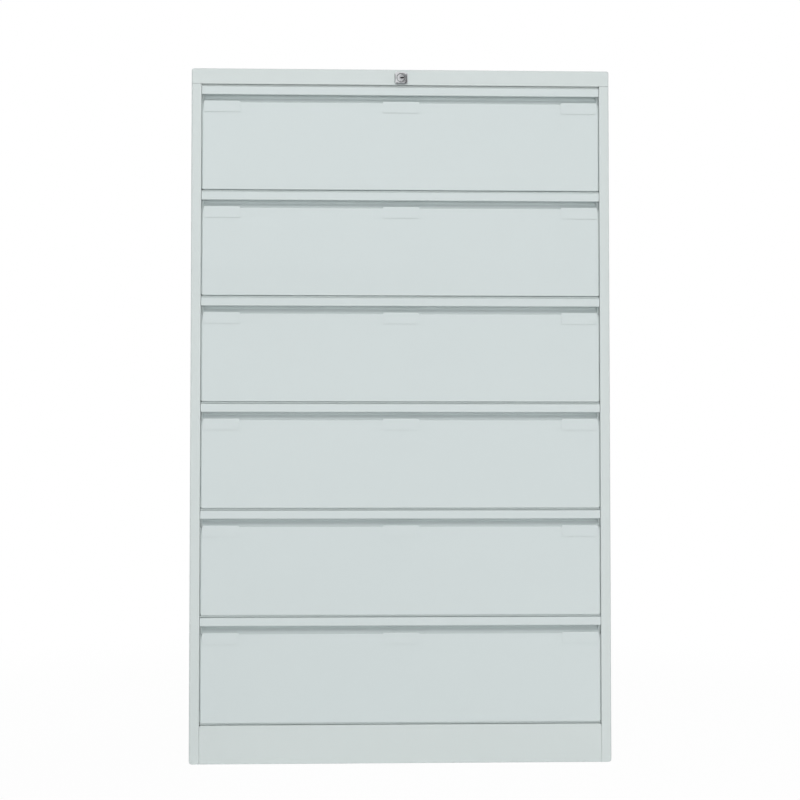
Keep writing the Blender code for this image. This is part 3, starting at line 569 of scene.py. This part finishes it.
# drawer fronts: one folded sheet with a lip, a sloping finger pull and drawn-in shoulders
front = {
    "sheet": 1 * mm,
    "bend": 1.5 * mm,
    "brow": 1.2 * mm,  # bend along the panel's upper edge
    "lip": 16.3 * mm,
    "lipReach": 1.5 * mm,  # the lip's width starts this far under it
    "mouth": 15.3 * mm,
    "depth": 25.7 * mm,
    "core": 12 * mm,  # a depth inside the fold
    "pullDepth": 16.6 * mm,
    "pullRise": 11.4 * mm,
    "pullBend": 5 * mm,
    "backBend": 2.5 * mm,  # where the pull's back meets the lip's top
    "panelHalf": 378 * mm,
    "lipHalf": 380.2 * mm,
    "shoulderInset": 2 * mm,
    "shoulderHeight": 20 * mm,
    "shoulderRound": 2.4 * mm,
    "shoulderRows": (20 * mm, 15 * mm, 10 * mm, 6 * mm, 3 * mm, 2.2 * mm, 1.4 * mm),  # under the upper edge
    "pullEndBack": 7 * mm,  # the pull's end walls stand this far behind the panel
    "returnUp": 20 * mm,
    "hem": 1.4 * mm,
    "hemBend": 0.65 * mm,
    "hemRise": 7 * mm,  # the hem turns back here and closes the lip
    "pocketRise": 5.5 * mm,  # up to here the pull behind the lip is no wider than the panel
    "flare": 0.8 * mm,  # and widens to the lip's width over this height
    "edge": 0.3 * mm,
}

# end flanges: how far they stay inside the front's folds
flange = {
    "tuck": 0.05 * mm,
    "pullTuck": 0.1 * mm,
    "front": 0.35 * mm,
    "back": 0.4 * mm,
    "foot": 0.4 * mm,
    "brow": 0.6 * mm,
    "head": 1.2 * mm,
    "lipFront": 0.3 * mm,
    "lipTop": 0.3 * mm,
    "lipBack": 0.7 * mm,  # past the pull's back face, into its sheet
}


def panelTop(height):
    return height - front["lip"] - front["mouth"]


def pocketTop(height):
    return height - front["lip"] + front["pocketRise"]


def clamped(value):
    return min(max(value, 0), 1)


def halfAt(height, z, behind=0):  # the front's half width at a height above its lower edge
    top, curl = panelTop(height), front["shoulderRound"]
    onLip = z > height - front["lip"] - front["lipReach"]
    if onLip and (behind < front["pullEndBack"] or z > pocketTop(height) - tiny):
        return front["lipHalf"]
    share = clamped((z - top + front["shoulderHeight"]) / front["shoulderHeight"])
    over = min(max(z - top + curl, 0), curl)
    drawn = front["shoulderInset"] * 0.5 * share ** 2 + (curl - math.sqrt(curl ** 2 - over ** 2)) * 0.5
    return front["panelHalf"] - drawn * clamped(1 - (z - top) / front["brow"])


def makeFront(number):
    body = f"drawer_{number}"
    low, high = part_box(f"{body}_front")
    height, sheet, bend, depth = high.z - low.z, front["sheet"], front["bend"], front["depth"]
    top, pull, pocket = panelTop(height), front["pullDepth"], pocketTop(height)
    lipLow, lipTop = height - front["lip"] + sheet, height - sheet
    hem, hemTop = sheet + front["hem"], lipLow + front["hemRise"]
    rows = [top - drop for drop in front["shoulderRows"]]
    bm = bmesh.new()
    path = [
        (depth, front["returnUp"], 0), (depth, 0, bend), (0, 0, bend),
        *((0, row, 0) for row in rows), (0, top, front["brow"]),
        (pull, top + front["pullRise"], front["pullBend"]),
        (pull, pocket - front["flare"], 0), (pull, pocket, 0),
        (pull, lipTop, front["backBend"]), (sheet, lipTop, bend),
        (sheet, lipLow, front["hemBend"]), (hem, lipLow, front["hemBend"]),
        (hem, hemTop, bend), (pull - sheet, hemTop, 0),
    ]
    for v in sweepSheet(bm, "X", path, -1, 1):
        v.co.x *= halfAt(height, v.co.z, v.co.y)
    faceOut(bm, bm.faces[:], (0, front["core"], height / 3))
    inside = (0, front["core"], height / 2)
    back = depth - flange["back"]
    for hand in (-1, 1):  # end flanges close the front, the pull and the lip
        upright = [flange["foot"], *rows, top - flange["brow"]]
        panel = [(hand * (halfAt(height, z) - flange["tuck"]), z, 0) for z in upright]
        foldSheet(bm, "Y", panel, flange["front"], back, inside)
        edge = hand * (front["panelHalf"] - flange["pullTuck"])
        ends = [(edge, top - flange["brow"], 0), (edge, height - flange["head"], 0)]
        foldSheet(bm, "Y", ends, front["pullEndBack"], back, inside)
        edge = hand * (front["lipHalf"] - flange["tuck"])
        cap = [(edge, hemTop - sheet, 0), (edge, height - flange["lipTop"], 0)]
        foldSheet(bm, "Y", cap, flange["lipFront"], pull + flange["lipBack"], inside)
        near = hand * (front["panelHalf"] + dust["coverGap"])
        far = hand * (openingHalf - dust["clear"])
        side, rear, fold = dust["side"], dust["cover"], dust["bend"]
        cover = [(near, rear, 0), (near, side, fold), (far, side, fold), (far, rear, 0)]
        within = ((near + far) / 2, rear, sum(dust["runner"]) / 2)
        foldSheet(bm, "Z", cover, *dust["runner"], within, 3)  # in front of the runner's end
    bmesh.ops.translate(bm, verts=bm.verts[:], vec=(0, faceY, low.z))
    makePiece(f"{body}_front_panel", bm, frontCoat, body, (f"{body}_front",),
              sheet, front["edge"])


# label holders: small plates that hook over the panel's upper edge
label = {
    "width": 69 * mm,
    "endGap": 2.2 * mm,
    "drop": 18.4 * mm,
    "rise": 2.9 * mm,
    "proud": 1.3 * mm,
    "bend": 0.4 * mm,
    "sheet": 0.8 * mm,
    "edge": 0.2 * mm,
    "corner": 3 * mm,
    "cornerCuts": (0.2, 0.6, 1.0, 1.4),  # radians around the rounded corner
    "nip": 0.6 * mm,  # the inner corners are nipped off
}


def makeLabel(number, side):
    body = f"drawer_{number}"
    low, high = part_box(f"{body}_front")
    top = panelTop(high.z - low.z)
    peak, foot = top + label["rise"], top - label["drop"]
    hand, half, curve = sides[side], label["width"] / 2, label["corner"]
    middle = hand * (front["panelHalf"] - label["endGap"] - half)
    hook = label["rise"] * front["pullDepth"] / front["pullRise"]  # back to the pull's slope
    bm = bmesh.new()
    path = [(-label["proud"], foot, 0), (-label["proud"], peak, label["bend"]), (hook, peak, 0)]
    sweepSheet(bm, "X", path, middle - half, middle + half)
    for end in (-1, 1):
        edge = middle + end * half
        cuts = [((edge, 0, peak - label["nip"]), (end, 0, 1))]
        if end == hand:  # the outer end is rounded like the panel's shoulder
            heart = Vector((edge - end * curve, 0, peak - curve))
            ways = [Vector((end * math.cos(a), 0, math.sin(a))) for a in label["cornerCuts"]]
            cuts = [(heart + curve * way, way) for way in ways]
        for place, normal in cuts:
            cutAcross(bm, place, normal, clear=True)
    faceOut(bm, bm.faces[:], (middle, label["drop"], foot))
    bmesh.ops.translate(bm, verts=bm.verts[:], vec=(0, faceY, low.z))
    makePiece(f"{body}_label_holder_{side}", bm, frontCoat, body, (),
              label["sheet"], label["edge"])


for number in drawerNumbers:
    makeFront(number)
    for side in sides:
        makeLabel(number, side)
print("fronts and label holders made")


def makeDustStrips():
    aft, bend, clear = faceY + dust["back"], dust["bend"], dust["clear"]
    fronts = [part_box(f"drawer_{number}_front") for number in drawerNumbers]
    lows = [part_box("plinth")[1].z] + [high.z for low, high in reversed(fronts)]
    highs = [low.z for low, high in reversed(fronts)] + [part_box("top_cap")[0].z + dust["upper"]]
    half = openingHalf - clear / 2
    fore = faceY + dust["front"]
    bm = bmesh.new()
    for low, high in zip(lows, highs):
        foot, head = low + clear, high - clear
        path = [(aft, foot, 0), (fore, foot, bend), (fore, head, bend), (aft, head, 0)]
        foldSheet(bm, "X", path, -half, half, (0, aft, (low + high) / 2), 3)
    makeCarcassPiece("cross_dust_strips", bm, (), dust["sheet"], dust["edge"])
    bm = bmesh.new()
    for low, high in fronts:
        height = high.z - low.z
        brow, pocket = panelTop(height) - dust["brow"], pocketTop(height) - dust["pocket"]
        runnerLow, runnerHigh = dust["runner"]
        for start, stop, behind in (
            (dust["foot"], runnerLow - clear, dust["side"]),
            (runnerHigh + clear, brow, dust["side"]),
            (brow, pocket, dust["pull"]),
            (pocket, height - dust["head"], dust["lip"]),
        ):
            fore = faceY + behind
            for hand in (-1, 1):
                near, far = hand * (front["panelHalf"] + clear), hand * half
                path = [(near, aft, 0), (near, fore, bend), (far, fore, bend), (far, aft, 0)]
                inside = ((near + far) / 2, aft, low.z + (start + stop) / 2)
                foldSheet(bm, "Z", path, low.z + start, low.z + stop, inside, 3)
    makeCarcassPiece("stile_dust_strips", bm, (), dust["sheet"], dust["edge"])


makeDustStrips()
print("dust strips made")

# trays: folded steel with rolled-out rims, a plated rail on each side and a catch for the lock
tray = {"sheet": 1 * mm, "half": 361.5 * mm, "rim": 6 * mm, "bend": 2 * mm, "edge": 0.25 * mm}
rail = {
    "out": 377.8 * mm,
    "gap": 0.3 * mm,  # to the tray's wall
    "height": 38.4 * mm,
    "centre": 48 * mm,
    "front": 30 * mm,
    "back": 582 * mm,
    "sheet": 1.5 * mm,
    "bend": 1.8 * mm,
    "edge": 0.25 * mm,
    "web": (4 * mm, 13 * mm),  # how deep it is pressed in, and half how tall
}
catch = {
    "gap": 0.1 * mm,
    "tip": 378 * mm,
    "front": 38 * mm,
    "back": 41 * mm,
    "foot": 100 * mm,
    "head": 112 * mm,
    "corner": 2 * mm,
    "edge": 0.25 * mm,
}


def channelPath(out, tip, half, middle, bend, web):  # its web is pressed in along the middle
    deep, tall = web
    sunk = out - math.copysign(deep, out)
    folds = [(out, half, bend), (out, tall, bend), (sunk, tall - deep, bend)]
    path = [(tip, middle - half, 0)] + [(x, middle - z, r) for x, z, r in folds]
    return path + [(x, middle + z, r) for x, z, r in reversed(folds)] + [(tip, middle + half, 0)]


def makeTray(number):
    body = f"drawer_{number}"
    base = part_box(f"{body}_front")[0].z
    low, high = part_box(f"{body}_tray")
    sheet, half = tray["sheet"], tray["half"]
    rimZ = high.z - sheet
    bm = bmesh.new()
    blockFrom(bm, (-half, low.y, low.z), (half, high.y, rimZ))
    dropFaces(bm, lambda m, n: n.z > 0.9)
    for v in growEdges(bm, edgesWhere(bm, lambda m, d: abs(d.y) > 0.9 and m.z > rimZ - tiny)):
        v.co.x += math.copysign(tray["rim"], v.co.x)
    roundEdges(bm, [e for e in bm.edges if len(e.link_faces) == 2], tray["bend"], 4)
    faceOut(bm, bm.faces[:], (low + high) / 2)
    makePiece(f"{body}_card_tray", bm, trayCoat, body, (f"{body}_tray",), sheet, tray["edge"])
    bm = bmesh.new()
    middle = base + rail["centre"]
    for hand in (-1, 1):
        out, tip = hand * rail["out"], hand * (half + rail["gap"])
        path = channelPath(out, tip, rail["height"] / 2, middle, rail["bend"], rail["web"])
        foldSheet(bm, "Y", path, faceY + rail["front"], faceY + rail["back"], ((out + tip) / 2, 0, middle))
    makePiece(f"{body}_rails", bm, zincPlate, body, (), rail["sheet"], rail["edge"])
    bm = bmesh.new()
    blockFrom(bm, (half + catch["gap"], faceY + catch["front"], base + catch["foot"]),
              (catch["tip"], faceY + catch["back"], base + catch["head"]))
    tips = edgesWhere(bm, lambda m, d: abs(d.y) > 0.9 and m.x > catch["tip"] - tiny)
    roundEdges(bm, tips, catch["corner"], 3)
    makePiece(f"{body}_catch", bm, zincPlate, body, (), 0, catch["edge"])


# dividers: one folded insert, its walls cut away at their upper corners
divider = {"sheet": 1 * mm, "bend": 1.4 * mm, "corner": 16 * mm, "edge": 0.3 * mm}


def makeDividers(number):
    body = f"drawer_{number}"
    low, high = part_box(f"{body}_dividers")
    bend = divider["bend"]
    bm = bmesh.new()
    path = [(low.x, high.z, 0), (low.x, low.z, bend), (high.x, low.z, bend), (high.x, high.z, 0)]
    sweepSheet(bm, "Y", path, low.y, high.y)
    roundUpperCorners(bm, high.z, divider["corner"], 6)
    faceOut(bm, bm.faces[:], (0, (low.y + high.y) / 2, high.z))
    makePiece(f"{body}_track_dividers", bm, trayCoat, body, (f"{body}_dividers",),
              divider["sheet"], divider["edge"])


# compressors: follower plates that lean back over a sliding foot
compressor = {
    "sheet": 1.5 * mm,
    "bend": 2 * mm,
    "lean": 12,  # degrees
    "corner": 17 * mm,
    "border": 11 * mm,
    "slope": 3 * mm,
    "press": 2 * mm,
    "edge": 0.3 * mm,
}


def makeCompressor(number, side):
    body = f"drawer_{number}_compressor_{side}"
    low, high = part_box(body)
    lean = math.tan(math.radians(compressor["lean"])) * (high.z - low.z)
    bm = bmesh.new()
    path = [(low.y + lean, high.z, 0), (low.y, low.z, compressor["bend"]), (high.y, low.z, 0)]
    sweepSheet(bm, "X", path, low.x, high.x)
    roundUpperCorners(bm, high.z, compressor["corner"], 8)
    faceOut(bm, bm.faces[:], (low + high) / 2)
    pressPanels(bm, [max(bm.faces, key=lambda f: f.calc_area())], compressor)
    makePiece(f"{body}_plate", bm, compressorPlate, body, (body,),
              compressor["sheet"], compressor["edge"])


# cradles: the middle members of the runners, tied together under the tray
cradle = {
    "out": 379.7 * mm,
    "tip": 366 * mm,
    "height": 42.2 * mm,
    "bend": 1.9 * mm,
    "web": (2 * mm, 11 * mm),
    "tieHalf": 367.9 * mm,
    "tieWidth": 30 * mm,
    "tieEnd": 2 * mm,
}


def makeCradle(number):
    body = f"drawer_{number}_cradle"
    low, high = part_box(body)
    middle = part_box(f"drawer_{number}_front")[0].z + rail["centre"]
    bend = cradle["bend"]
    bm = bmesh.new()
    for hand in (-1, 1):
        out, tip = hand * cradle["out"], hand * cradle["tip"]
        path = channelPath(out, tip, cradle["height"] / 2, middle, bend, cradle["web"])
        foldSheet(bm, "Y", path, low.y, high.y, ((out + tip) / 2, 0, middle))
    half, reach = cradle["tieHalf"], middle - cradle["height"] / 2
    stop = high.y - cradle["tieEnd"]
    path = [(-half, reach, 0), (-half, low.z, bend), (half, low.z, bend), (half, reach, 0)]
    foldSheet(bm, "Y", path, stop - cradle["tieWidth"], stop, (0, 0, middle))
    makePiece(f"{body}_members", bm, zincPlate, body, (body,), rail["sheet"], rail["edge"])


for number in drawerNumbers:
    makeTray(number)
    makeDividers(number)
    makeCradle(number)
    for side in sides:
        makeCompressor(number, side)
print("trays, dividers, cradles and compressors made")

# nodes that keep their own shape take the real finishes
plated = ("left_runner_frame", "right_runner_frame", "lock_nut", "lock_cam", "lock_slide", "lock_bar",
          "lock_slide_guide", "lock_bar_upper_guide", "lock_bar_lower_guide")
for finish, names in ((carcassCoat, ("base_pan",)), (zincPlate, plated)):
    for name in names:
        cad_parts[name].data.materials.clear()
        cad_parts[name].data.materials.append(finish)

# studio: pale floor, white surround, broad soft light from the front and some from above
studio = {
    "surround": 0.33,
    "lamps": {  # power, place, size, target
        "front light": (478, (0.5, -8.6, 0.95), (8.0, 5.2), (0, -0.3, 0.65)),
        "upper light": (240, (-0.7, -6.1, 9.3), (6.4, 3.0), (0, -0.3, 0.7)),
        "rear light": (150, (2.8, 5.6, 2.9), (3.6, 3.0), (0, 0.3, 0.7)),
    },
    "floorSize": (24, 24),
    "floorGrey": (0.86, 0.86, 0.86, 1),
    "floorWhite": 0.97,
    "floorClear": (0.9, 2.0),  # the floor goes over to plain white between these distances
    "cards": {  # dark cards that only the lock's chrome shows, painted dark reflections on its edges: centre, size, the way they face
        "right card": ((0.9, -1.9, 1.3), (2.6, 1.6), (-1, 0, 0)),
        "far card": ((0.75, -4.3, 2.3), (1.2, 1.6), (0, 1, 0)),
        "low card": ((0, -0.95, 0.95), (0.9, 1.25), (0, 0, 1)),
        "left card": ((-0.9, -0.2, 1.5), (1.4, 0.8), (1, 0, 0)),
    },
    # glow of the painted reflection cards
    "paintedReflectionTone": 0.2,
}
white = (1, 1, 1, 1)


def makeLamp(name, power, place, size, target):
    lamp = bpy.data.lights.new(name, "AREA")
    lamp.energy, lamp.shape = power, "RECTANGLE"
    lamp.size, lamp.size_y = size
    holder = bpy.data.objects.new(name, lamp)
    bpy.context.collection.objects.link(holder)
    holder.location = place
    holder.rotation_euler = (Vector(target) - Vector(place)).to_track_quat("-Z", "Y").to_euler()
    holder.visible_glossy = False  # polished metal shows the white surround instead


def makeStageSheet(name, material, place, size, facing):
    bm = bmesh.new()
    bmesh.ops.create_grid(bm, x_segments=1, y_segments=1, size=0.5)
    bmesh.ops.scale(bm, verts=bm.verts[:], vec=(*size, 1))
    turn = Vector(facing).to_track_quat("Z", "Y").to_matrix()
    bmesh.ops.rotate(bm, verts=bm.verts[:], cent=(0, 0, 0), matrix=turn)
    bmesh.ops.translate(bm, verts=bm.verts[:], vec=place)
    mesh = bpy.data.meshes.new(name)
    bm.to_mesh(mesh)
    bm.free()
    mesh.materials.append(material)
    sheet = bpy.data.objects.new(name, mesh)
    bpy.context.collection.objects.link(sheet)
    return sheet


# painted reflections: dim glowing sheets that only glossy rays see, so the chrome's edges and rims reflect
# them dark
def makePaintedReflectionCards():
    material = bpy.data.materials.new("painted reflection card")
    material.use_nodes = True
    wire = Wire(material.node_tree)
    dim = wire.add("Emission", None, {"Color": white, "Strength": studio["paintedReflectionTone"]})
    wire.feed(material.node_tree.nodes["Material Output"].inputs["Surface"], dim)
    for name, (place, size, facing) in studio["cards"].items():
        card = makeStageSheet(name, material, place, size, facing)
        card.visible_camera = card.visible_diffuse = card.visible_shadow = card.visible_transmission = False


def seenRays(tree):  # 1 for rays that show a thing as it is: straight, mirrored or through glass
    path = tree.nodes.new("ShaderNodeLightPath")
    seen = Wire(tree, path.outputs["Is Camera Ray"])
    for ray in ("Is Glossy Ray", "Is Transmission Ray"):
        seen = seen.maths("MAXIMUM", seen, Wire(tree, path.outputs[ray]))
    return seen


def makeSurround():
    world = bpy.data.worlds.new("studio")
    bpy.context.scene.world = world
    world.use_nodes = True
    back = world.node_tree.nodes["Background"]
    back.inputs["Color"].default_value = white
    seen = seenRays(world.node_tree)
    seen.feed(back.inputs["Strength"], studio["surround"] + seen * (1 - studio["surround"]))


def makeFloor():
    material, wire, shader = newFinish("floor", {"Base Color": studio["floorGrey"], "Roughness": 0.9})
    glow = wire.add("Emission", None, {"Color": white, "Strength": 1})
    paper = Wire(material.node_tree, shader.outputs[0])
    place = wire.add("TexCoord", out="Object")
    away = wire.add("VectorMath", {"operation": "LENGTH"}, {0: place}, 1)
    near, far = studio["floorClear"]
    clear = wire.add("MapRange", {"interpolation_type": "SMOOTHSTEP"}, {0: away, 1: near, 2: far})
    share = studio["floorWhite"] + clear * (1 - studio["floorWhite"])
    shown = wire.add("MixShader", None, {0: seenRays(material.node_tree) * share, 1: paper, 2: glow})
    wire.feed(material.node_tree.nodes["Material Output"].inputs["Surface"], shown)
    makeStageSheet("floor", material, (0, 0, 0), studio["floorSize"], (0, 0, 1))


for name, settings in studio["lamps"].items():
    makeLamp(name, *settings)
makeSurround()
makeFloor()
makePaintedReflectionCards()

# camera: where the photograph was taken from
view = {"lens": 70.65, "sensor": 36, "place": (-0.1027, -3.2943, 0.5862), "up": 1.929, "turn": -1.93}
lens = bpy.data.cameras.new("camera")
lens.lens, lens.sensor_width = view["lens"], view["sensor"]
camera = bpy.data.objects.new("camera", lens)
bpy.context.collection.objects.link(camera)
camera.location = view["place"]
camera.rotation_euler = (math.radians(90 + view["up"]), 0, math.radians(view["turn"]))
bpy.context.scene.camera = camera
bpy.context.scene.view_settings.view_transform = "Standard"
print("studio and camera set")
